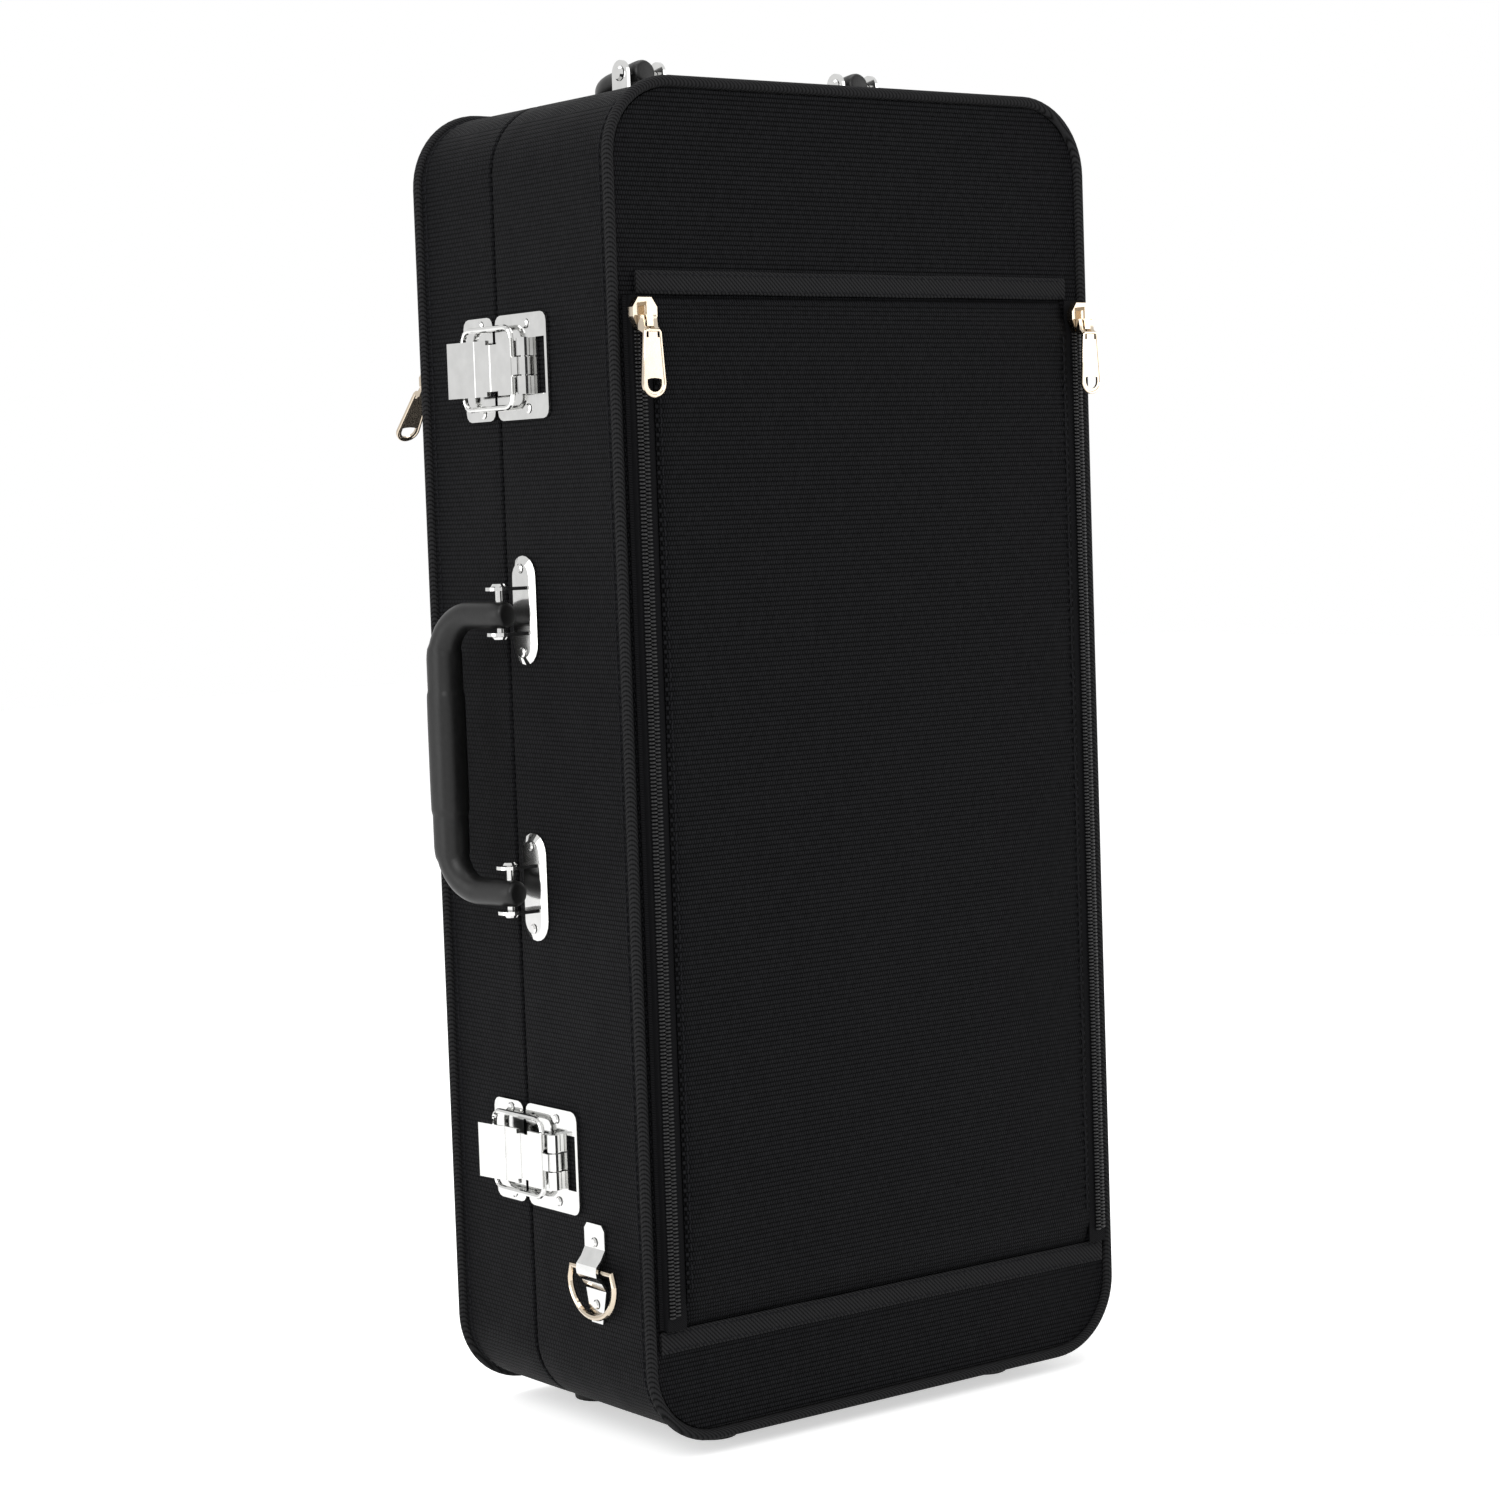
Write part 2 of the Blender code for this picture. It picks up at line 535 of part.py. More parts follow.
def make_latch(label, z, body, lid):
    """One latch: plate, lever, pin and wire loop on the body, and the keeper on the lid."""
    where = side_frame(z)
    base, face = GAP, GAP + PLATE_THICKNESS
    back = SEAM_Y - SEAM_GAP
    length = back - LATCH_PLATE_FRONT_U
    middle = (back + LATCH_PLATE_FRONT_U) / 2
    edge = [(u + middle, w) for u, w in outline(length, 2 * LATCH_PLATE_HALF, 0.004, 3)]
    plate = add_object("latch_plate_" + label, slab(edge, base, face), "chrome", where)
    third = KNUCKLE_HALF / 3
    for low, high in ((-KNUCKLE_HALF, -third - GAP), (third + GAP, KNUCKLE_HALF)):
        join(plate, rod(KNUCKLE_RADIUS, (LATCH_AXIS_U, LATCH_AXIS_V, low), (LATCH_AXIS_U, LATCH_AXIS_V, high)), where)
        join(plate, span((LATCH_AXIS_U - 0.0018, face - 0.0004, low), (LATCH_AXIS_U + 0.0012, LATCH_AXIS_V, high)), where)
    bore = LEVER_PIN_RADIUS + 0.0001
    cut(plate, rod(bore, (LATCH_AXIS_U, LATCH_AXIS_V, -0.02), (LATCH_AXIS_U, LATCH_AXIS_V, 0.02), 14), where)
    cut(plate, span((-0.0243, base - 0.002, -KNUCKLE_HALF), (-0.0180, face + 0.0002, KNUCKLE_HALF)), where)
    add_object("latch_pin_" + label, rod(LEVER_PIN_RADIUS, (0, 0, -KNUCKLE_HALF), (0, 0, KNUCKLE_HALF), 14),
               "chrome", where @ Matrix.Translation((LATCH_AXIS_U, LATCH_AXIS_V, 0)))

    pivot = Matrix.Translation((LATCH_AXIS_U, LATCH_AXIS_V, 0))
    middle_v = LEVER_TOP_V - LEVER_THICKNESS / 2
    tip_v = LEVER_TIP_V - LEVER_THICKNESS / 2
    path = [(-0.0085, middle_v), (0.0022, middle_v), (0.0028, middle_v - 0.0008), (0.0100, middle_v - 0.0008),
            (0.0106, middle_v + 0.0002), (0.0206, middle_v + 0.0002), (0.0212, middle_v + 0.0010),
            (LEVER_TIP_U, tip_v)]
    path = [(u - LATCH_AXIS_U, v - LATCH_AXIS_V) for u, v in path]
    lever = add_object("latch_lever_" + label, strip(path, LEVER_THICKNESS, -LEVER_HALF, LEVER_HALF),
                       "chrome", where @ pivot)
    for side in (-1, 1):
        near, far = sorted((side * (LEVER_HALF - 0.002), side * (LEVER_HALF + 0.002)))
        cut(lever, span((0.0022 - LATCH_AXIS_U, 0.0, near), (0.0106 - LATCH_AXIS_U, 0.01, far)), where @ pivot)
    join(lever, rod(KNUCKLE_RADIUS, (0, 0, -third + GAP), (0, 0, third - GAP)), where @ pivot)
    join(lever, span((-0.0004, KNUCKLE_RADIUS - 0.0008, -third + GAP),
                     (-0.0075 - LATCH_AXIS_U, LEVER_TOP_V - LATCH_AXIS_V - 0.0002, third - GAP)), where @ pivot)
    curl = Vector((BAIL_NEAR_U - LATCH_AXIS_U, BAIL_V - LATCH_AXIS_V, 0))
    reach = Vector((0, 0, LEVER_HALF - 0.001))
    join(lever, rod(BAIL_WIRE + 0.0013, curl - reach, curl + reach, 14), where @ pivot)
    join(lever, span(curl - reach + Vector((-0.0015, 0.0015, 0)),
                     curl + reach + Vector((0.0015, middle_v - BAIL_V, 0))), where @ pivot)
    cut(lever, rod(BAIL_WIRE + GAP, curl - Vector((0, 0, 0.02)), curl + Vector((0, 0, 0.02)), 14), where @ pivot)
    cut(lever, rod(bore, (0, 0, -0.02), (0, 0, 0.02), 14), where @ pivot)

    loop = outline(BAIL_FAR_U - BAIL_NEAR_U, 2 * BAIL_HALF, BAIL_CORNER, 4)
    half = (BAIL_FAR_U - BAIL_NEAR_U) / 2
    tube("latch_bail_" + label, [(u + half, 0.0, w) for u, w in loop], BAIL_WIRE, "chrome",
         where @ Matrix.Translation((BAIL_NEAR_U, BAIL_V, 0)), cyclic=True)

    front = SEAM_Y + SEAM_GAP
    edge = [(u + (front + KEEPER_BACK_U) / 2, w)
            for u, w in outline(KEEPER_BACK_U - front, 2 * LATCH_PLATE_HALF - 0.0004, 0.004, 3)]
    keeper = add_object("keeper_" + label, slab(edge, base, face), "chrome", where)
    low = KEEPER_RIDGE_U - KEEPER_RIDGE_LENGTH / 2
    high = min(KEEPER_RIDGE_U + KEEPER_RIDGE_LENGTH / 2, BAIL_FAR_U - BAIL_WIRE - GAP)
    join(keeper, span((low, face - 0.0004, -0.009), (high, BAIL_V - BAIL_WIRE - GAP, 0.009)), where)
    rivets("latch_rivets_" + label, where, ((LATCH_RIVET_U, -RIVET_W), (LATCH_RIVET_U, RIVET_W)), face + GAP,
           WALL, (LATCH_RIVET_U - 0.003, -RIVET_W - 0.003), (LATCH_RIVET_U + 0.003, RIVET_W + 0.003), (body, plate))
    rivets("keeper_rivets_" + label, where, ((KEEPER_RIVET_U, -RIVET_W - 0.001), (KEEPER_RIVET_U, RIVET_W + 0.001)),
           face + GAP, WALL, (KEEPER_RIVET_U - 0.003, -RIVET_W - 0.004),
           (KEEPER_RIVET_U + 0.003, RIVET_W + 0.004), (lid, keeper))


def bracket(name, where, middle):
    """A dished oval plate with two ears for a handle pin."""
    def oval(inset, v):
        ring = outline(BRACKET_WIDTH - 2 * inset, BRACKET_LENGTH - 2 * inset, BRACKET_WIDTH / 2 - inset - 0.0002, 5)
        return [Vector((u, v, w + middle)) for u, w in ring]

    top = GAP + BRACKET_HEIGHT
    made = add_object(name, loft([oval(0.0, GAP), oval(0.0, GAP + 0.0005), oval(0.003, top)]), "chrome", where)
    for side in (-1, 1):
        inner = middle + side * (EAR_SPACING - EAR_THICKNESS) / 2
        outer = middle + side * (EAR_SPACING + EAR_THICKNESS) / 2
        low, high = sorted((inner, outer))
        join(made, span((-EAR_HALF_WIDTH, top - 0.0008, low), (EAR_HALF_WIDTH, PIN_STANDOFF, high)), where)
        join(made, rod(EAR_HALF_WIDTH, (0, PIN_STANDOFF, low), (0, PIN_STANDOFF, high), 20), where)
    cut(made, rod(PIN_BORE, (0, PIN_STANDOFF, middle - 0.03), (0, PIN_STANDOFF, middle + 0.03), 14), where)
    return made


def make_handle(label, where, wall, fold, drop):
    """A handle: two brackets, two pins, the moulded grip and the riveted backing plate."""
    plates = []
    outer = EAR_SPACING / 2 + EAR_THICKNESS / 2 + GAP
    for side, end in ((-1, "a"), (1, "b")):
        middle = side * HANDLE_PIN_SPACING / 2
        plates.append(bracket(label + "_bracket_" + end, where, middle))
        at = where @ Matrix.Translation((0, PIN_STANDOFF, middle))
        pin = add_object(label + "_pin_" + end, rod(PIN_RADIUS, (0, 0, -outer - PIN_HEAD / 2),
                                                   (0, 0, outer + PIN_HEAD / 2), 14), "chrome", at)
        for way in (-1, 1):
            join(pin, rod(PIN_HEAD_RADIUS, (0, 0, way * outer), (0, 0, way * (outer + PIN_HEAD)), 14,
                          PIN_HEAD_RADIUS * 0.75), at)
    spots = [(0.0, side * HANDLE_PIN_SPACING / 2 + way * BRACKET_RIVET_W) for side in (-1, 1) for way in (-1, 1)]
    reach = HANDLE_PIN_SPACING / 2 + BRACKET_LENGTH / 2
    rivets(label + "_backing_plate", where, spots, GAP + BRACKET_HEIGHT + GAP, WALL, (-0.007, -reach),
           (0.007, reach), [wall] + plates)
    turn = where @ Matrix.Translation((0, PIN_STANDOFF, -drop)) @ Matrix.Rotation(fold, 4, "Z")
    half = HANDLE_PIN_SPACING / 2
    corner = (HANDLE_REACH - HANDLE_CORNER, half - HANDLE_CORNER)
    bend = arc(corner, HANDLE_CORNER, 90.0, 0.0, 8)
    path = [(-HANDLE_BOSS, half), (0.0, half), (0.010, half)] + bend + [(HANDLE_REACH, half * 0.40)]
    swell = HANDLE_GRIP_RADIUS / HANDLE_ARM_RADIUS
    weights = [0.86, 1.0, 1.0] + [1.0 + (swell - 1.0) * i / (len(bend) - 1) for i in range(len(bend))] + [swell]
    path = path + [(u, -w) for u, w in reversed(path)]
    weights = weights + weights[::-1]
    made = tube(label + "_grip", [(u, 0.0, w) for u, w in path], HANDLE_ARM_RADIUS, "handle_plastic", turn,
                weights=weights, resolution=4)
    for side in (-1, 1):
        centre = side * half
        cut(made, rod(PIN_BORE, (0, 0, centre - 0.02), (0, 0, centre + 0.02), 14), turn)


def make_strap_tab(label, where, wall):
    """A metal strap with a hump that carries a ring, riveted at both ends."""
    mid = GAP + PLATE_THICKNESS / 2
    bar = TAB_BAR_Z
    hump = RING_V + RING_WIRE + GAP + PLATE_THICKNESS / 2 + 0.0002
    path = [(TAB_TOP_Z, mid), (TAB_TOP_Z - 0.0025, mid), (bar + 0.0088, mid), (bar + 0.0048, mid + 0.0022),
            (bar + 0.0020, hump - 0.0003), (bar, hump), (bar - 0.0020, hump - 0.0003),
            (bar - 0.0048, mid + 0.0022), (bar - 0.0088, mid), (TAB_BOTTOM_Z, mid)]
    sheet = strip([(z, v) for z, v in path], PLATE_THICKNESS, -TAB_WIDTH / 2, TAB_WIDTH / 2)
    for corner in sheet.verts:
        along, out, across = corner.co
        taper = 0.55 if along < TAB_BOTTOM_Z + 0.001 else 0.72 if along > TAB_TOP_Z - 0.001 else 1.0
        corner.co = Vector((across * taper, out, along))
    tab = add_object("strap_tab_" + label, sheet, "chrome", where)
    loop = [(-RING_WIDTH / 2 + 0.003, bar), (0.0, bar), (RING_WIDTH / 2 - 0.003, bar)]
    width, height = RING_WIDTH / 2 - RING_WIRE, RING_HEIGHT - 2 * RING_WIRE
    for step in range(1, 24):
        angle = math.radians(12.0 - 204.0 * step / 24)
        loop.append((width * math.cos(angle), bar - 0.006 + (height - 0.006) * math.sin(angle)
                     if math.sin(angle) < 0 else bar - 0.006 + 0.006 * math.sin(angle) / math.sin(math.radians(30))))
    points = [(u, 0.0, w - bar) for u, w in loop]
    tube("d_ring_" + label, points, RING_WIRE, "nickel", where @ Matrix.Translation((0, RING_V, bar)), cyclic=True)
    top_rivet, low_rivet = TAB_TOP_Z - 0.008, TAB_BOTTOM_Z + 0.008
    rivets("strap_tab_rivets_" + label, where, ((0.0, top_rivet), (0.0, low_rivet)), GAP + PLATE_THICKNESS + GAP,
           WALL, (-0.004, low_rivet - 0.004), (0.004, top_rivet + 0.004), (wall, tab))


def make_feet():
    for end, y in (("front", -FOOT_Y), ("back", FOOT_Y)):
        for side, x in (("left", -FOOT_X), ("right", FOOT_X)):
            shape = rod(FOOT_RADIUS, (0, 0, -GAP), (0, 0, -FOOT_HEIGHT), 24, FOOT_RADIUS * 0.86)
            add_object("foot_%s_%s" % (end, side), shape, "foot_rubber", Matrix.Translation((x, y, 0)))


def make_hinge():
    """A continuous hinge: two leaves with alternate knuckles, and its pin."""
    axis_x = SIDE_X + GAP + HINGE_BARREL
    low_z = HEIGHT / 2 - HINGE_LENGTH / 2
    pitch = HINGE_LENGTH / HINGE_KNUCKLES
    where = Matrix.Translation((axis_x, SEAM_Y, 0))
    for label, way, parity in (("body", -1.0, 0), ("lid", 1.0, 1)):
        near, far = sorted((way * 0.0008, way * HINGE_LEAF))
        inner = GAP - (axis_x - SIDE_X)
        leaf = add_object("hinge_leaf_" + label, span((inner, near, low_z), (inner + HINGE_LEAF_THICKNESS, far,
                                                      low_z + HINGE_LENGTH)), "chrome", where)
        for i in range(HINGE_KNUCKLES):
            low, high = low_z + i * pitch, low_z + (i + 1) * pitch
            if i % 2 == parity:
                join(leaf, rod(HINGE_BARREL, (0, 0, low + HINGE_RUNNING_GAP), (0, 0, high - HINGE_RUNNING_GAP), 16), where)
            else:
                cut(leaf, rod(HINGE_BARREL + GAP, (0, 0, low - HINGE_RUNNING_GAP),
                              (0, 0, high + HINGE_RUNNING_GAP), 16), where)
        cut(leaf, rod(HINGE_PIN + 0.0001, (0, 0, low_z - 0.01), (0, 0, low_z + HINGE_LENGTH + 0.01), 12), where)
    add_object("hinge_pin", rod(HINGE_PIN, (0, 0, low_z), (0, 0, low_z + HINGE_LENGTH), 12), "chrome", where)


def stand_on_origin():
    """Moves the whole case so that the middle of its underside box is the origin."""
    bpy.context.view_layer.update()
    graph = bpy.context.evaluated_depsgraph_get()
    corners = []
    for item in PARTS.objects:
        shown = item.evaluated_get(graph)
        corners += [shown.matrix_world @ vertex.co for vertex in shown.data.vertices]
    low = Vector(min(corner[i] for corner in corners) for i in range(3))
    high = Vector(max(corner[i] for corner in corners) for i in range(3))
    ORIGIN.location = (-(low.x + high.x) / 2, -(low.y + high.y) / 2, -low.z)
    bpy.context.view_layer.update()


clear_scene()
PARTS = make_collection("trumpet_backpack_case")
CUTTERS = make_collection("cutters")
ORIGIN = bpy.data.objects.new("case_origin", None)
PARTS.objects.link(ORIGIN)
make_materials()
BODY, LID = make_shells()
make_insert()
make_pockets()
for latch_label, latch_z in zip(("lower", "upper"), LATCH_Z):
    make_latch(latch_label, latch_z, BODY, LID)
make_handle("side_handle", side_frame(SIDE_HANDLE_Z), BODY, SIDE_HANDLE_FOLD, SIDE_HANDLE_DROP)
make_handle("top_handle", top_frame(), BODY, TOP_HANDLE_FOLD, 0.0)
make_strap_tab("left", frame_matrix((0, 1, 0), (-1, 0, 0), (0, 0, 1), (-SIDE_X, TAB_Y, 0)), BODY)
make_strap_tab("right", right_frame(0.0, TAB_Y), BODY)
make_feet()
make_hinge()
PARTS.objects.unlink(ORIGIN)
CUTTERS.objects.link(ORIGIN)
stand_on_origin()
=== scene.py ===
"""Dresses the trumpet case: woven cloth, twill tapes, zips with teeth, stitching and polished hardware."""
import json
import math

import bmesh
import bpy
from mathutils import Matrix, Vector, noise


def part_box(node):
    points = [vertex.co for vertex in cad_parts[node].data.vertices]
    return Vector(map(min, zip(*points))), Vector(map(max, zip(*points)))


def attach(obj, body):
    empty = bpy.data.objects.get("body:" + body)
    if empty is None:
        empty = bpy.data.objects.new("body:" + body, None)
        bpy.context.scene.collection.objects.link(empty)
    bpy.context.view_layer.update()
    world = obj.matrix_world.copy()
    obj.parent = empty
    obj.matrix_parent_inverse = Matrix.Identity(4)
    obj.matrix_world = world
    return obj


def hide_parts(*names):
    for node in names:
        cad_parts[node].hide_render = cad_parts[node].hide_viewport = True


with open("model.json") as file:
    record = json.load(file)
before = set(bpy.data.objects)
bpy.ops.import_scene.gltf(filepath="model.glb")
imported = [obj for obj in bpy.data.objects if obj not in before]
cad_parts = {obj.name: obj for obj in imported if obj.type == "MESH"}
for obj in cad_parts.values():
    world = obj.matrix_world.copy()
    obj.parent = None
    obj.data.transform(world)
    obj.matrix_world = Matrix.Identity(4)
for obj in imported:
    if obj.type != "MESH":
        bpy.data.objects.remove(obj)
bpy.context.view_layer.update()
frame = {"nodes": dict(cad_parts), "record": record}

LOW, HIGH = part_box("body_shell")
LID_LOW, LID_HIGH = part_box("lid_shell")
MIDDLE_X = (LOW[0] + HIGH[0]) / 2.0
FRONT_Y = LOW[1]
BACK_Y = LID_HIGH[1]
MIDDLE_Y = (FRONT_Y + BACK_Y) / 2.0
BASE_Z = LOW[2]
WIDTH = HIGH[0] - LOW[0]
HEIGHT = HIGH[2] - LOW[2]
SEAM_FRONT = HIGH[1]
SEAM_BACK = LID_LOW[1]

# The shells' corners and walls, and each zip's distance from the middle, as in the solids
RADIUS = 0.032
WALL = 0.007
ZIP_X = 0.1210

# How finely the case's outline is drawn at each corner and along each side
CORNER_STEPS = 14
SIDE_RUNS = 10

# How often the slight ripples in the cloth come round the case, and along its depth
RIPPLES_ROUND = 14.0
RIPPLES_DEEP = 26.0

# Sewing thread: its width, the distance from stitch to stitch, and the share of it that shows
THREAD_WIDTH = 0.0007
STITCH_PITCH = 0.0042
STITCH_SHARE = 0.72

# A stitch or tooth: (place along it, thickness there) from end to end, and its eight corners
LUMP_PROFILE = ((-1.0, 0.35), (-0.7, 0.9), (0.0, 1.0), (0.7, 0.9), (1.0, 0.35))
LUMP_CORNERS = [math.radians(22.5 + 45.0 * corner) for corner in range(8)]
LUMP_SWELL = 1.08

# The grip: (distance out from the pin, thickness) along each arm, then (place along the hold, thickness)
GRIP_ARM = ((-0.0052, 0.62), (-0.0050, 0.80), (-0.0040, 0.92), (-0.0020, 0.98),
            (0.0010, 1.0), (0.0050, 1.0), (0.0100, 1.0), (0.0140, 1.0))
GRIP_HOLD = ((0.62, 1.24), (0.56, 1.24), (0.50, 1.24), (0.46, 1.24), (0.445, 1.26), (0.43, 1.30),
             (0.41, 1.32), (0.36, 1.33), (0.2, 1.34))
GRIP_REACH = 0.0366
GRIP_HALF = 0.0599
GRIP_CORNER = 0.0190
GRIP_RADIUS = 0.0059

# The photograph's camera, in the case's own frame: X, Y from its middle and Z from its underside
CAMERA_PLACE = (-0.9188, -1.2118, 0.3910)
CAMERA_AZIMUTH = math.radians(-36.81)
CAMERA_ELEVATION = math.radians(4.07)
CAMERA_ROLL = math.radians(-1.97)
CAMERA_LENS = 80.4
CAMERA_SENSOR = 36.0

# The studio: light from all round, the floor's own glow, and the point that the lamps face
WORLD_LIGHT = 0.55
FLOOR_GLOW = 0.55
FLOOR_REACH = 6.0
LAMP_TARGET = (0.0, 0.0, 0.3)

# The hardware whose edges are rounded, by the start of each name, and how much
PRESSED = ("latch_plate", "latch_lever", "keeper_lower", "keeper_upper", "strap_tab_left",
           "strap_tab_right", "left_zip_slider", "right_zip_slider", "back_zip_slider")
PRESSED_EDGE = 0.00022


def place(x, y, z):
    """A point of the case's own frame in the world."""
    return Vector((x + MIDDLE_X, y + MIDDLE_Y, z + BASE_Z))


class Look:
    """A Principled material and short ways to add nodes to it."""

    def __init__(self, name, colour, roughness, metallic=0.0, specular=0.5):
        self.material = bpy.data.materials.new(name)
        self.material.use_nodes = True
        self.tree = self.material.node_tree
        self.shader = self.tree.nodes["Principled BSDF"]
        self.shader.inputs["Base Color"].default_value = (*colour, 1.0)
        self.shader.inputs["Roughness"].default_value = roughness
        self.shader.inputs["Metallic"].default_value = metallic
        self.shader.inputs["Specular IOR Level"].default_value = specular
        self.material.diffuse_color = (*colour, 1.0)
        self.coordinates = self.tree.nodes.new("ShaderNodeTexCoord")

    def link(self, source, target):
        self.tree.links.new(source, target)

    def math(self, operation, first, second=0.0):
        made = self.tree.nodes.new("ShaderNodeMath")
        made.operation = operation
        for socket, value in zip(made.inputs, (first, second)):
            if isinstance(value, (int, float)):
                socket.default_value = value
            else:
                self.link(value, socket)
        return made.outputs[0]

    def split(self, source):
        made = self.tree.nodes.new("ShaderNodeSeparateXYZ")
        self.link(source, made.inputs[0])
        return made.outputs

    def pick(self, factor, first, second):
        """First where factor is 0 and second where it is 1."""
        made = self.tree.nodes.new("ShaderNodeMix")
        made.data_type = "FLOAT"
        self.link(factor, made.inputs[0])
        self.link(first, made.inputs[2])
        self.link(second, made.inputs[3])
        return made.outputs[0]

    def blend(self, first, share, second, other):
        """The sum of two values, each times its share."""
        return self.math("ADD", self.math("MULTIPLY", first, share), self.math("MULTIPLY", second, other))

    def noise(self, scale, detail=3.0):
        made = self.tree.nodes.new("ShaderNodeTexNoise")
        made.inputs["Scale"].default_value = scale
        made.inputs["Detail"].default_value = detail
        self.link(self.coordinates.outputs["Object"], made.inputs["Vector"])
        return made.outputs["Fac"]

    def wave(self, phase):
        """Rounded ridges, one for each whole number of phase."""
        return self.math("ABSOLUTE", self.math("SINE", self.math("MULTIPLY", phase, math.pi)))

    def colours(self, factor, stops):
        made = self.tree.nodes.new("ShaderNodeValToRGB")
        ramp = made.color_ramp
        while len(ramp.elements) < len(stops):
            ramp.elements.new(0.5)
        for element, (position, colour) in zip(ramp.elements, stops):
            element.position = position
            element.color = (*colour, 1.0)
        self.link(factor, made.inputs[0])
        self.link(made.outputs[0], self.shader.inputs["Base Color"])

    def roughness(self, factor, low, high):
        made = self.tree.nodes.new("ShaderNodeMapRange")
        self.link(factor, made.inputs[0])
        made.inputs[3].default_value = low
        made.inputs[4].default_value = high
        self.link(made.outputs[0], self.shader.inputs["Roughness"])

    def bump(self, height, strength, distance):
        made = self.tree.nodes.new("ShaderNodeBump")
        made.inputs["Strength"].default_value = strength
        made.inputs["Distance"].default_value = distance
        self.link(height, made.inputs["Height"])
        self.link(made.outputs[0], self.shader.inputs["Normal"])

    def surface(self):
        """Two coordinates along the surface, chosen by which way it faces."""
        x, y, z = self.split(self.coordinates.outputs["Object"])
        facing = [self.math("ABSOLUTE", part) for part in self.split(self.coordinates.outputs["Normal"])]
        to_side = self.math("GREATER_THAN", facing[0], facing[1])
        flat = self.math("GREATER_THAN", facing[2], self.math("MAXIMUM", facing[0], facing[1]))
        across = self.pick(self.math("MULTIPLY", to_side, self.math("SUBTRACT", 1.0, flat)), x, y)
        up = self.pick(flat, z, y)
        return across, up

    def weave(self, across_pitch, up_pitch):
        """The height of ribbed rows of short threads, each row half a thread along from the last."""
        rib_roundness, thread_roundness = 0.6, 0.7
        across, up = self.surface()
        row = self.math("DIVIDE", up, up_pitch)
        odd = self.math("FLOORED_MODULO", self.math("FLOOR", row), 2.0)
        shift = self.math("MULTIPLY", odd, 0.5)
        column = self.math("ADD", self.math("DIVIDE", across, across_pitch), shift)
        rib = self.math("POWER", self.wave(row), rib_roundness)
        thread = self.math("POWER", self.wave(column), thread_roundness)
        return self.math("MULTIPLY", rib, thread)


def nylon_look(name, dark, light):
    """Ribbed woven nylon, a little uneven; its colour follows the thread height, with painted shade in the
    grooves between threads.
    """
    row, thread = 0.00195, 0.00130
    made = Look(name, light, 0.62, specular=0.04)
    height = made.weave(thread, row)
    uneven = made.math("MULTIPLY", made.noise(420.0, 4.0), 0.5)
    total = made.math("ADD", made.math("MULTIPLY", height, 0.8), made.math("SUBTRACT", uneven, 0.2))
    # Painted shade: the colour is darkest in the grooves between threads and lightest on their crowns,
    # mixed with a random uneven tone
    made.colours(total, ((0.18, dark), (0.92, light)))
    made.roughness(made.noise(60.0), 0.48, 0.66)
    made.bump(total, 0.9, 0.0007)
    return made.material


def twill_look(name, dark, light, pitch):
    """Slanting ribs crossed by finer threads, coloured by their height, with painted shade between the
    ribs.
    """
    made = Look(name, light, 0.7, specular=0.05)
    across = made.surface()[0]
    x, y, z = made.split(made.coordinates.outputs["Object"])
    slant = made.math("ADD", made.math("ADD", x, z), y)
    rib = made.wave(made.math("DIVIDE", slant, pitch))
    cross = made.wave(made.math("DIVIDE", across, pitch * 0.5))
    height = made.blend(rib, 0.8, cross, 0.2)
    # Painted shade: the colour is darkest between the ribs and threads and lightest on their crowns
    made.colours(height, ((0.1, dark), (0.9, light)))
    made.bump(height, 0.7, 0.0004)
    return made.material


def metal_look(name, colour, low, high):
    """Bright metal with faint smears and duller patches."""
    made = Look(name, colour, low, 1.0)
    made.roughness(made.noise(45.0, 5.0), low, high)
    dull = tuple(part * 0.86 for part in colour)
    made.colours(made.noise(120.0, 6.0), ((0.25, dull), (0.75, colour)))
    made.bump(made.noise(900.0, 2.0), 0.05, 0.0001)
    return made.material


def moulded_look(name, dark, light, low, high, grain, depth):
    """Moulded plastic or rubber with a fine grain."""
    made = Look(name, light, low, specular=0.3)
    made.colours(made.noise(grain * 0.3), ((0.3, dark), (0.7, light)))
    made.roughness(made.noise(grain * 0.1), low, high)
    made.bump(made.noise(grain, 6.0), 0.35, depth)
    return made.material


def plush_look(name, dark, light):
    """Short soft pile with broad worn patches."""
    made = Look(name, light, 0.95, specular=0.1)
    fluff = made.noise(1500.0, 6.0)
    made.colours(made.blend(fluff, 0.5, made.noise(25.0), 0.5), ((0.3, dark), (0.7, light)))
    made.bump(fluff, 0.8, 0.0010)
    made.shader.inputs["Sheen Weight"].default_value = 0.4
    return made.material


# For the nylon, twill, thread and zip cloth, the darker colour is painted shade in the grooves of the weave
NYLON = nylon_look("woven_nylon", (0.0002, 0.0002, 0.0003), (0.0125, 0.0127, 0.0142))
LINING = plush_look("plush_lining", (0.010, 0.010, 0.016), (0.030, 0.030, 0.045))
TWILL = twill_look("twill_weave", (0.0004, 0.0004, 0.0004), (0.020, 0.020, 0.021), 0.0020)
THREAD = twill_look("sewing_thread", (0.003, 0.003, 0.004), (0.018, 0.018, 0.020), 0.0006)
ZIP_CLOTH = twill_look("zip_cloth", (0.001, 0.001, 0.001), (0.008, 0.008, 0.009), 0.0010)
COIL = moulded_look("zip_coil_nylon", (0.003, 0.003, 0.003), (0.009, 0.009, 0.010),
                    0.28, 0.42, 1200.0, 0.0001)
CHROME = metal_look("polished_chrome", (0.70, 0.70, 0.69), 0.05, 0.13)
NICKEL = metal_look("light_nickel", (0.62, 0.53, 0.42), 0.08, 0.20)
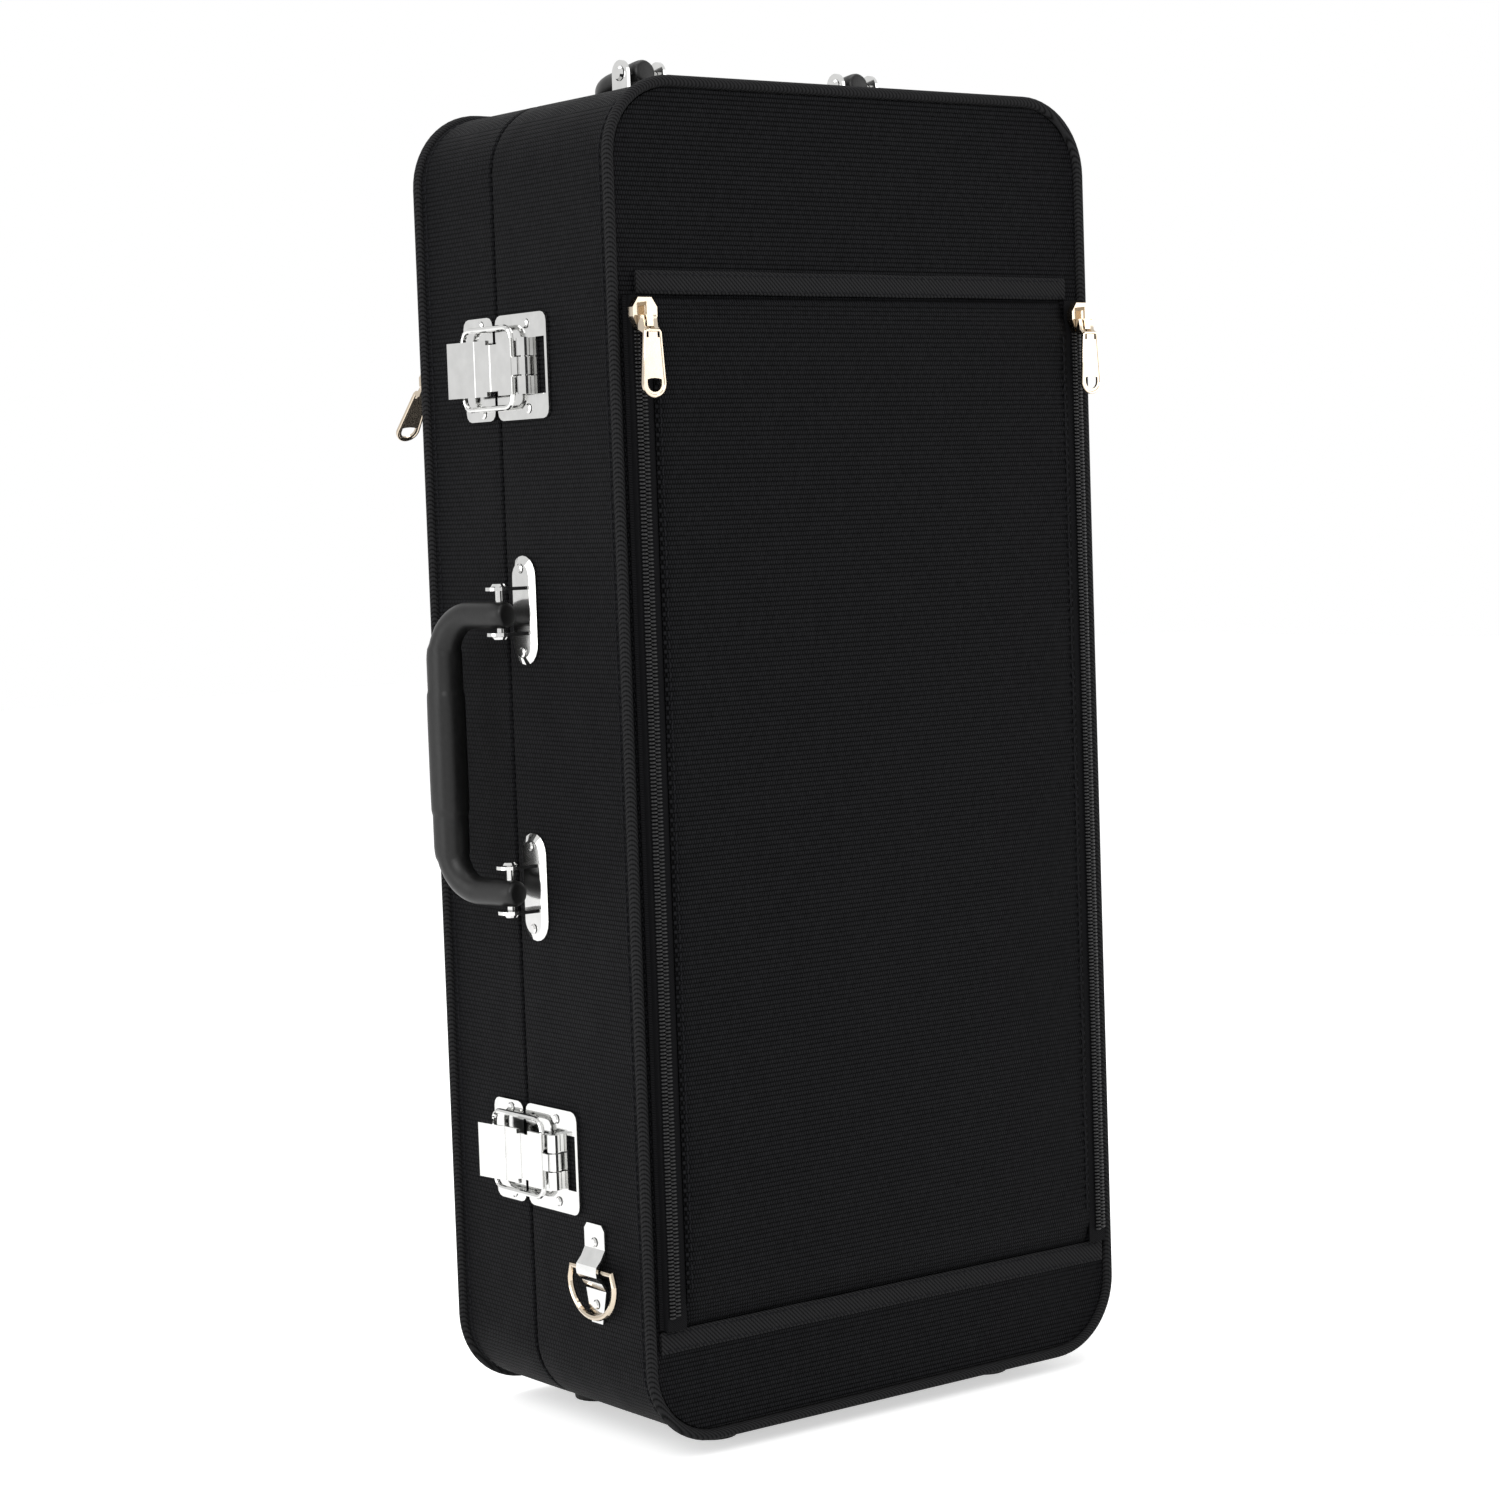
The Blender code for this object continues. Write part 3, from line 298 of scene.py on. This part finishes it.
SATIN = moulded_look("satin_black_plastic", (0.003, 0.003, 0.003), (0.007, 0.007, 0.007),
                     0.34, 0.46, 1600.0, 0.0002)
FOOT = moulded_look("foot_rubber", (0.006, 0.006, 0.006), (0.014, 0.014, 0.014),
                    0.55, 0.75, 900.0, 0.0003)


def add_piece(name, shape, look, body, *replaced, slot=None, sharp=35.0):
    """Links a bmesh as one piece that rides on a body, and may stand for CAD nodes."""
    bmesh.ops.recalc_face_normals(shape, faces=shape.faces)
    data = bpy.data.meshes.new(name)
    shape.to_mesh(data)
    shape.free()
    data.materials.append(look)
    data.shade_smooth()
    data.set_sharp_from_angle(angle=math.radians(sharp))
    made = bpy.data.objects.new(name, data)
    bpy.context.scene.collection.objects.link(made)
    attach(made, body)
    if replaced:
        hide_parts(*replaced)
    return made


def nodes_in(slot):
    """The names of the solids with one material slot."""
    return [entry["node"] for entry in frame["record"]["subparts"] if entry["material_slot"] == slot]


def repaint(names, look):
    for name in names:
        shown = frame["nodes"][name]
        shown.data.materials.clear()
        shown.data.materials.append(look)


def outline(width, height, radius):
    """A rounded rectangle about its middle, with points along its straight sides too."""
    corners = []
    for corner in range(4):
        middle = math.radians(45.0 + 90.0 * corner)
        across = math.copysign(width / 2.0 - radius, math.cos(middle))
        up = math.copysign(height / 2.0 - radius, math.sin(middle))
        turns = [math.radians(90.0 * (corner + step / CORNER_STEPS)) for step in range(CORNER_STEPS + 1)]
        corners.append([(across + radius * math.cos(turn), up + radius * math.sin(turn)) for turn in turns])
    points = []
    for i, bend in enumerate(corners):
        points += bend
        start, end = bend[-1], corners[(i + 1) % 4][0]
        for run in range(1, SIDE_RUNS):
            share = run / SIDE_RUNS
            points.append((start[0] + (end[0] - start[0]) * share, start[1] + (end[1] - start[1]) * share))
    return points


def case_ring(inset, y, ripple=0.0):
    """The case's outline drawn in by inset at depth y, with a slight ripple in the cloth."""
    ring = []
    for x, z in outline(WIDTH - 2 * inset, HEIGHT - 2 * inset, RADIUS - inset):
        wave = noise.noise(Vector((x * RIPPLES_ROUND, y * RIPPLES_DEEP, z * RIPPLES_ROUND))) * ripple
        out = Vector((x, z)).normalized() * wave
        ring.append(Vector((x + out.x + MIDDLE_X, y, z + out.y + HEIGHT / 2.0 + BASE_Z)))
    return ring


def circle(radius, steps=12):
    turns = [2 * math.pi * i / steps for i in range(steps)]
    return [(radius * math.cos(turn), radius * math.sin(turn)) for turn in turns]


def skin(shape, rings, closed=False):
    """Adds the surface through equal rings to a bmesh: its two end caps first, or none if closed."""
    loops = [[shape.verts.new(point) for point in ring] for ring in rings]
    pairs = list(zip(loops, loops[1:]))
    if closed:
        pairs.append((loops[-1], loops[0]))
    else:
        shape.faces.new(loops[0])
        shape.faces.new(loops[-1])
    for first, second in pairs:
        for i in range(len(first)):
            shape.faces.new((first[i - 1], first[i], second[i], second[i - 1]))


def loft(rings, closed=False):
    shape = bmesh.new()
    skin(shape, rings, closed)
    return shape


def sweep(points, section):
    """Sweeps a (side, out) section round a level loop of points, with side along Y."""
    rings = []
    count = len(points)
    for i, point in enumerate(points):
        before, after = points[i - 1], points[(i + 1) % count]
        along = (after - before).normalized()
        out = along.cross(Vector((0.0, 1.0, 0.0))).normalized()
        rings.append([point + Vector((0.0, side, 0.0)) + out * reach for side, reach in section])
    return loft(rings, closed=True)


def cloth_shell(name, seam_y, end_y, body, node):
    """A cloth-covered shell: lined inside, rolled at its rim, softly rounded at its far edge."""
    ripple = 0.00025
    rebate = 0.0030
    rebate_steps = 4
    way = 1.0 if end_y > seam_y else -1.0
    depth = abs(end_y - seam_y)
    rings = [case_ring(WALL, end_y - way * WALL), case_ring(WALL, seam_y + way * 0.0008),
             case_ring(WALL * 0.86, seam_y), case_ring(0.0012, seam_y),
             case_ring(0.0003, seam_y + way * 0.0005), case_ring(0.0, seam_y + way * 0.0014)]
    for share in (0.15, 0.3, 0.45, 0.6, 0.75, 0.88):
        rings.append(case_ring(0.0, seam_y + way * depth * share, ripple))
    for step in range(rebate_steps + 1):
        turn = math.radians(90.0 * step / rebate_steps)
        rings.append(case_ring(rebate * math.sin(turn), end_y - way * rebate * math.cos(turn)))
    made = add_piece(name, loft(rings), NYLON, body, node, slot="black_nylon", sharp=50.0)
    made.data.materials.append(LINING)
    # The inner floor is the first of the two end caps, and the inner wall follows them
    caps = 2
    lined = [0] + list(range(caps, caps + len(rings[0])))
    for index in lined:
        made.data.polygons[index].material_index = 1


def lumps(name, places, size, turns, look, body):
    """Many small rounded blocks in one piece, such as stitches or teeth, each with its place and turn."""
    shape = bmesh.new()
    half = Vector(size) / 2.0
    for centre, turn in zip(places, turns):
        matrix = Matrix.Translation(centre) @ turn
        rings = []
        for along, share in LUMP_PROFILE:
            wide = half.x * share * LUMP_SWELL
            high = half.y * share * LUMP_SWELL
            rings.append([matrix @ Vector((wide * math.cos(angle), high * math.sin(angle), half.z * along))
                          for angle in LUMP_CORNERS])
        skin(shape, rings)
    add_piece(name, shape, look, body, sharp=60.0)


def along_run(run):
    return run.to_track_quat("Z", "Y").to_matrix().to_4x4()


def stitches(name, start, end, body, pitch=STITCH_PITCH):
    """A row of thread dashes between two points."""
    run = end - start
    count = max(1, int(run.length / pitch))
    places = [start + run * ((i + 0.5) / count) for i in range(count)]
    turns = [along_run(run.normalized())] * count
    lumps(name, places, (THREAD_WIDTH, THREAD_WIDTH, pitch * STITCH_SHARE), turns, THREAD, body)


def loop_stitches(name, y, body):
    """A row of thread dashes round the case, just clear of its cloth."""
    lift = 0.0001
    path = case_ring(-lift, y)
    places, turns = [], []
    left = STITCH_PITCH / 2
    for i, start in enumerate(path):
        run = path[(i + 1) % len(path)] - start
        length = run.length
        spot = left
        while spot < length:
            places.append(start + run * (spot / length))
            turns.append(along_run(run))
            spot += STITCH_PITCH
        left = spot - length
    size = (THREAD_WIDTH, THREAD_WIDTH, STITCH_PITCH * STITCH_SHARE)
    lumps(name, places, size, turns, THREAD, body)


def make_shells():
    piping_radius = 0.0024
    stitch_gap = 0.0062
    cloth_shell("body_cloth", SEAM_FRONT, FRONT_Y, "case_body", "body_shell")
    cloth_shell("lid_cloth", SEAM_BACK, BACK_Y, "lid", "lid_shell")
    for label, y, body, node in (("front", FRONT_Y, "case_body", "body_piping"),
                                 ("back", BACK_Y, "lid", "lid_piping")):
        rope = sweep(case_ring(0.0, y), circle(piping_radius, 14))
        add_piece(label + "_edge_piping", rope, TWILL, body, node, slot="twill_tape", sharp=60.0)
    loop_stitches("body_edge_stitch", FRONT_Y + stitch_gap, "case_body")
    loop_stitches("lid_edge_stitch", BACK_Y - stitch_gap, "lid")


def make_panel(name, node, way, body):
    """A pocket front: taut cloth that rises from the zips to a slightly crowned face."""
    columns, rows = 44, 84
    hem = 0.0008
    end_slope, side_slope = 0.014, 0.010
    edge_share = 0.86
    ripple_height = 0.0006
    thickness = 0.0012
    stitch_inset, stitch_margin = 0.0022, 0.016
    low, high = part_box(node)
    proud = abs(high[1] - low[1])
    base = low[1] if way > 0 else high[1]
    shape = bmesh.new()
    grid = []
    for row in range(rows + 1):
        z = low[2] + (high[2] - low[2]) * row / rows
        line = []
        for column in range(columns + 1):
            x = low[0] + (high[0] - low[0]) * column / columns
            end = min(1.0, min(z - low[2], high[2] - z) / end_slope)
            side = min(1.0, min(x - low[0], high[0] - x) / side_slope)
            crown = edge_share + (1.0 - edge_share) * math.sin(side * math.pi / 2)
            rise = math.sin(end * math.pi / 2) * crown
            ripple = noise.noise(Vector((x * 16.0, 3.0, z * 9.0))) * ripple_height * end * side
            line.append(shape.verts.new((x, base + way * (hem + (proud - hem) * rise + ripple), z)))
        grid.append(line)
    for lower, upper in zip(grid, grid[1:]):
        for i in range(columns):
            shape.faces.new((lower[i], lower[i + 1], upper[i + 1], upper[i]))
    made = add_piece(name, shape, NYLON, body, node, slot="black_nylon", sharp=60.0)
    solid = made.modifiers.new("cloth", "SOLIDIFY")
    solid.thickness = thickness
    solid.offset = 1.0 if (made.data.polygons[0].normal.y * way) < 0 else -1.0
    y = base + way * (proud * 0.955 + 0.0002)
    for label, x in (("left", low[0] + stitch_inset), ("right", high[0] - stitch_inset)):
        stitches(f"{name}_stitch_{label}", Vector((x, y, low[2] + stitch_margin)),
                 Vector((x, y, high[2] - stitch_margin)), body)


def make_tape(name, node):
    """A folded tape with rounded edges and a row of stitches near each edge."""
    steps, section_steps = 60, 16
    sag_height = 0.0003
    edge_squareness, face_squareness = 0.35, 0.7
    height_share = 0.985
    stitch_inset, stitch_margin, stitch_lift = 0.0016, 0.002, 0.0001
    low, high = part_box(node)
    thick = high[1] - low[1]
    rings = []
    for step in range(steps + 1):
        x = low[0] + (high[0] - low[0]) * step / steps
        sag = noise.noise(Vector((x * 30.0, low[2] * 40.0, 1.0))) * sag_height
        ring = []
        for side, reach in circle(1.0, section_steps):
            up = math.copysign(abs(side) ** edge_squareness, side)
            out = math.copysign(abs(reach) ** face_squareness, reach)
            z = (low[2] + high[2]) / 2 + up * (high[2] - low[2]) / 2 * height_share
            ring.append(Vector((x, high[1] - thick / 2 - out * thick / 2, z + sag)))
        rings.append(ring)
    add_piece(name, loft(rings), TWILL, "case_body", node, slot="twill_tape", sharp=60.0)
    y = low[1] + stitch_lift
    for label, z in (("upper", high[2] - stitch_inset), ("lower", low[2] + stitch_inset)):
        stitches(f"{name}_stitch_{label}", Vector((low[0] + stitch_margin, y, z)),
                 Vector((high[0] - stitch_margin, y, z)), "case_body", 0.0036)


def make_zip(name, node, side, way, body):
    """Zip tape with two rows of coil teeth, and stitches along its outer edge."""
    steps = 40
    coil_height, coil_half = 0.0014, 0.0034
    pitch, row_gap, end_margin = 0.0016, 0.0027, 0.005
    tooth = (0.00125, 0.0016, 0.0030)
    stitch_inset, stitch_height, stitch_margin = 0.0028, 0.0025, 0.003
    low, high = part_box(node)
    face = low[1] if way < 0 else high[1]
    base = high[1] if way < 0 else low[1]
    outer = low[0] if side < 0 else high[0]
    inner = high[0] if side < 0 else low[0]
    centre = place(side * ZIP_X, 0.0, 0.0).x
    deck = abs(face - base) - coil_height
    section = ((outer, 0.0), (outer, 0.0007), (outer - side * 0.0012, 0.0016),
               (centre + side * coil_half, deck), (inner, deck + 0.0001), (inner, deck - 0.0006),
               (centre + side * coil_half, deck - 0.0007), (outer - side * 0.0016, 0.0))
    rings = []
    for step in range(steps + 1):
        z = low[2] + (high[2] - low[2]) * step / steps
        rings.append([Vector((x, base + way * y, z)) for x, y in section])
    add_piece(name + "_cloth", loft(rings), ZIP_CLOTH, body, node, slot="zip_tape", sharp=40.0)
    count = int((high[2] - low[2] - 2 * end_margin) / pitch)
    places = []
    for row in range(2):
        x = centre + (row - 0.5) * row_gap
        for i in range(count):
            z = low[2] + end_margin + (i + 0.5) * pitch + row * pitch / 2
            places.append(Vector((x, base + way * (deck + coil_height / 2), z)))
    turns = [Matrix.Rotation(math.radians(90.0), 4, "Y")] * len(places)
    lumps(name + "_teeth", places, tooth, turns, COIL, body)
    x = outer - side * stitch_inset
    y = base + way * stitch_height
    stitches(name + "_stitch", Vector((x, y, low[2] + stitch_margin)),
             Vector((x, y, high[2] - stitch_margin)), body, 0.0030)


def soften(name, node, look, body, slot):
    """A copy of a soft node with its edges rounded."""
    merge_distance = 0.00002
    flat_angle, edge_angle = math.radians(1.0), math.radians(40.0)
    edge_width = 0.0012
    source = frame["nodes"][node]
    shape = bmesh.new()
    shape.from_mesh(source.data)
    bmesh.ops.remove_doubles(shape, verts=shape.verts, dist=merge_distance)
    bmesh.ops.dissolve_limit(shape, angle_limit=flat_angle, verts=shape.verts, edges=shape.edges)
    sharp = [edge for edge in shape.edges if len(edge.link_faces) == 2
             and edge.calc_face_angle(0.0) > edge_angle]
    bmesh.ops.bevel(shape, geom=sharp, offset=edge_width, segments=2, profile=0.6, affect="EDGES",
                    clamp_overlap=True)
    made = add_piece(name, shape, look, body, node, slot=slot, sharp=50.0)


def make_inside():
    soften("insert_plush", "foam_insert", LINING, "case_body", "plush")
    soften("lid_pad_plush", "lid_pad", LINING, "lid", "plush")
    soften("accessory_lid_plush", "accessory_lid", LINING, "accessory_lid", "plush")
    soften("opening_lip_cloth", "opening_lip", TWILL, "case_body", "twill_tape")


def joint(name):
    """The point on a joint's axis."""
    for entry in frame["record"]["behaviour"]["joints"]:
        if entry["name"] == name:
            return Vector(entry["pos_m"])
    raise ValueError(name)


def make_grip(name, node, body, pivot, out, back, along, fold):
    """A moulded C-shaped grip: round arms that swell into a thicker, flattened hand hold."""
    bend_steps, bend_swell = 16, 0.24
    ring_steps = 28
    flattened_from, squareness = 1.2, 0.80
    aside = (back * math.cos(fold) + out * math.sin(fold)).normalized()
    over = (out * math.cos(fold) - back * math.sin(fold)).normalized()
    path = [(u, GRIP_HALF, thickness) for u, thickness in GRIP_ARM]
    for step in range(bend_steps + 1):
        angle = math.radians(90.0 - 90.0 * step / bend_steps)
        path.append((GRIP_REACH - GRIP_CORNER + GRIP_CORNER * math.cos(angle),
                     GRIP_HALF - GRIP_CORNER + GRIP_CORNER * math.sin(angle),
                     1.0 + bend_swell * step / bend_steps))
    path += [(GRIP_REACH, GRIP_HALF * share, thickness) for share, thickness in GRIP_HOLD]
    path += [(u, -w, thickness) for u, w, thickness in reversed(path)]
    rings = []
    points = [aside * u + along * w for u, w, _ in path]
    for i, (_, _, thickness) in enumerate(path):
        before = points[i] - points[max(i - 1, 0)]
        after = points[min(i + 1, len(points) - 1)] - points[i]
        wide = over.cross((before + after).normalized()).normalized()
        radius = GRIP_RADIUS * thickness
        power = squareness if thickness > flattened_from else 1.0
        rings.append([pivot + points[i] + wide * radius * math.copysign(abs(x) ** power, x)
                      + over * radius * math.copysign(abs(y) ** power, y)
                      for x, y in circle(1.0, ring_steps)])
    add_piece(name, loft(rings), SATIN, body, node, slot="handle_plastic", sharp=50.0)


def make_grips():
    make_grip("side_grip_moulding", "side_handle_grip", "side_handle", joint("side_handle_pivot"),
              Vector((-1, 0, 0)), Vector((0, 1, 0)), Vector((0, 0, 1)), math.radians(10.0))
    make_grip("top_grip_moulding", "top_handle_grip", "top_handle", joint("top_handle_pivot"),
              Vector((0, 0, 1)), Vector((0, 1, 0)), Vector((1, 0, 0)), math.radians(-9.0))


def make_puller(name, node, body, pivot, way, lean):
    """A tapered pull tab with a raised rim, a D-shaped hole and two eyes on the slider's bar."""
    length, top_half, end_half = 0.0330, 0.0043, 0.0058
    neck, shoulder, chamfer = -0.0062, -0.0050, 0.0008
    plate, rim = 0.00055, 0.00085
    rim_inner, rim_outer, rim_slope = 0.0012, 0.0009, 0.0003
    lift = 0.0033
    hole_radius, hole_top = 0.0036, 0.0016
    eye_near, eye_far = 0.0022, 0.0042
    bar_half, bar_radius = 0.0040, 0.0007
    turn = Matrix(((-way, 0, 0), (0, way, 0), (0, 0, 1))).transposed().to_4x4()
    swing = Matrix.Translation(pivot) @ Matrix.Rotation(lean, 4, "X") @ turn
    half_turn = [math.radians(180.0 + 9.0 * i) for i in range(21)]

    def bowl(radius):
        """The rounded lower end of the tab or of its hole."""
        return [(math.cos(angle) * radius, -length + end_half + math.sin(angle) * radius)
                for angle in half_turn]

    def swung(points, level):
        return [swing @ Vector((x, lift + level, z)) for x, z in points]

    def tab(inset, level):
        top = shoulder - inset
        points = bowl(end_half - inset)
        points += [(top_half - inset, neck), (top_half - chamfer - inset, top), (0.0, top),
                   (-top_half + chamfer + inset, top), (-top_half + inset, neck)]
        return swung(points, level)

    def hole(level):
        top = -length + end_half + hole_top
        points = bowl(hole_radius)
        points += [(hole_radius, top), (hole_radius * 0.6, top + 0.0004), (0.0, top + 0.0006),
                   (-hole_radius * 0.6, top + 0.0004), (-hole_radius, top)]
        return swung(points, level)

    shape = loft([hole(-plate), hole(plate), tab(rim_inner, plate), tab(rim_outer, rim),
                  tab(rim_slope, rim), tab(0.0, plate), tab(0.0, -plate), tab(rim_slope, -rim),
                  tab(rim_outer, -rim), tab(rim_inner, -plate)], closed=True)
    arm = [(0.0000, 0.0010), (-0.0040, 0.0016), (-0.0062, lift + plate), (-0.0085, lift + plate),
           (-0.0085, lift - plate), (-0.0066, lift - plate * 1.5), (-0.0050, -0.0008),
           (0.0000, -0.0010), (0.0008, -0.0006), (0.0010, 0.0), (0.0008, 0.0006)]
    for side in (-1, 1):
        skin(shape, [[swing @ Vector((x, level, z)) for z, level in arm]
                     for x in (side * eye_near, side * eye_far)])
    skin(shape, [[swing @ Vector((x, y, z)) for y, z in circle(bar_radius)]
                 for x in (-bar_half, bar_half)])
    add_piece(name, shape, NICKEL, body, node, slot="nickel", sharp=40.0)


def make_pullers():
    for label in ("left", "right"):
        make_puller(label + "_pull_tab", label + "_zip_puller", label + "_puller",
                    joint(label + "_puller_pivot"), -1.0, 0.0)
    make_puller("back_pull_tab", "back_zip_puller", "back_puller", joint("back_puller_pivot"), 1.0,
                math.radians(40.0))


def round_edges(names, width):
    """Small rounded edges on pressed and moulded hardware, so that they catch the light."""
    for name in names:
        edge = frame["nodes"][name].modifiers.new("rounded_edges", "BEVEL")
        edge.width = width
        edge.segments = 2
        edge.limit_method = "ANGLE"
        edge.angle_limit = math.radians(38.0)
        edge.harden_normals = True


def finish_hardware():
    for slot_name, look in (("chrome", CHROME), ("nickel", NICKEL), ("handle_plastic", SATIN),
                            ("foot_rubber", FOOT)):
        repaint(nodes_in(slot_name), look)
    names = [entry["node"] for entry in frame["record"]["subparts"]]
    round_edges([name for name in names if name.startswith(PRESSED)], PRESSED_EDGE)


def make_camera():
    back = Vector((math.sin(CAMERA_AZIMUTH) * math.cos(CAMERA_ELEVATION),
                   -math.cos(CAMERA_AZIMUTH) * math.cos(CAMERA_ELEVATION), math.sin(CAMERA_ELEVATION)))
    right = (-back).cross(Vector((0.0, 0.0, 1.0))).normalized()
    up = right.cross(-back)
    across = right * math.cos(CAMERA_ROLL) + up * math.sin(CAMERA_ROLL)
    over = up * math.cos(CAMERA_ROLL) - right * math.sin(CAMERA_ROLL)
    turn = Matrix((across, over, back)).transposed().to_4x4()
    data = bpy.data.cameras.new("camera")
    data.lens = CAMERA_LENS
    data.sensor_width = CAMERA_SENSOR
    data.clip_start = 0.05
    camera = bpy.data.objects.new("camera", data)
    bpy.context.scene.collection.objects.link(camera)
    camera.matrix_world = Matrix.Translation(place(*CAMERA_PLACE)) @ turn
    bpy.context.scene.camera = camera


def area_lamp(name, spot, target, size, power):
    data = bpy.data.lights.new(name, "AREA")
    data.shape = "RECTANGLE"
    data.size, data.size_y = size
    data.energy = power
    lamp = bpy.data.objects.new(name, data)
    bpy.context.scene.collection.objects.link(lamp)
    spot, target = Vector(spot), Vector(target)
    turn = (target - spot).to_track_quat("-Z", "Y").to_matrix().to_4x4()
    lamp.matrix_world = Matrix.Translation(spot) @ turn


def seen_as_white(tree, plain, white):
    """Mixes in a white shader for camera, glossy and transmission rays."""
    path = tree.nodes.new("ShaderNodeLightPath")
    most = path.outputs["Is Camera Ray"]
    for name in ("Is Glossy Ray", "Is Transmission Ray"):
        add = tree.nodes.new("ShaderNodeMath")
        add.operation = "MAXIMUM"
        tree.links.new(most, add.inputs[0])
        tree.links.new(path.outputs[name], add.inputs[1])
        most = add.outputs[0]
    mix = tree.nodes.new("ShaderNodeMixShader")
    tree.links.new(most, mix.inputs[0])
    tree.links.new(plain, mix.inputs[1])
    tree.links.new(white, mix.inputs[2])
    return mix.outputs[0]


def make_world():
    world = bpy.data.worlds.new("studio")
    bpy.context.scene.world = world
    world.use_nodes = True
    tree = world.node_tree
    plain = tree.nodes["Background"]
    white = tree.nodes.new("ShaderNodeBackground")
    for background, strength in ((plain, WORLD_LIGHT), (white, 1.0)):
        background.inputs[0].default_value = (1.0, 1.0, 1.0, 1.0)
        background.inputs[1].default_value = strength
    tree.links.new(seen_as_white(tree, plain.outputs[0], white.outputs[0]),
                   tree.nodes["World Output"].inputs["Surface"])


def make_floor():
    """A floor that shows as white and still takes the case's soft shadow."""
    reach = FLOOR_REACH
    mesh = bpy.data.meshes.new("floor")
    corners = [(-reach, -reach, 0.0), (reach, -reach, 0.0), (reach, reach, 0.0), (-reach, reach, 0.0)]
    mesh.from_pydata(corners, [], [(0, 1, 2, 3)])
    floor = bpy.data.objects.new("floor", mesh)
    bpy.context.scene.collection.objects.link(floor)
    look = bpy.data.materials.new("white_floor")
    look.use_nodes = True
    tree = look.node_tree
    shader = tree.nodes["Principled BSDF"]
    shader.inputs["Base Color"].default_value = (0.9, 0.9, 0.9, 1.0)
    shader.inputs["Roughness"].default_value = 0.9
    glow = tree.nodes.new("ShaderNodeEmission")
    glow.inputs[1].default_value = FLOOR_GLOW
    add = tree.nodes.new("ShaderNodeAddShader")
    tree.links.new(shader.outputs[0], add.inputs[0])
    tree.links.new(glow.outputs[0], add.inputs[1])
    tree.links.new(seen_as_white(tree, shader.outputs[0], add.outputs[0]),
                   tree.nodes["Material Output"].inputs["Surface"])
    mesh.materials.append(look)


def make_studio():
    make_world()
    make_floor()
    area_lamp("key", (-1.6, -1.5, 1.7), LAMP_TARGET, (1.2, 1.2), 30.0)
    area_lamp("fill", (1.6, -1.6, 1.0), LAMP_TARGET, (1.2, 1.6), 12.0)
    area_lamp("top", (0.0, 0.2, 2.2), LAMP_TARGET, (1.4, 1.4), 16.0)
    area_lamp("side", (-1.9, 0.5, 0.7), (-0.1, 0.0, 0.3), (0.9, 1.6), 12.0)


make_camera()
make_shells()
make_panel("front_pocket_cloth", "front_pocket_panel", -1.0, "case_body")
make_panel("back_pocket_cloth", "back_pocket_panel", 1.0, "lid")
make_tape("top_tape_twill", "pocket_top_tape")
make_tape("bottom_tape_twill", "pocket_bottom_tape")
make_zip("left_zip_weave", "zip_left", -1.0, -1.0, "case_body")
make_zip("right_zip_weave", "zip_right", 1.0, -1.0, "case_body")
make_zip("back_zip_weave", "back_zip", -1.0, 1.0, "lid")
make_inside()
make_grips()
make_pullers()
finish_hardware()
make_studio()
bpy.context.scene.view_settings.view_transform = "Standard"
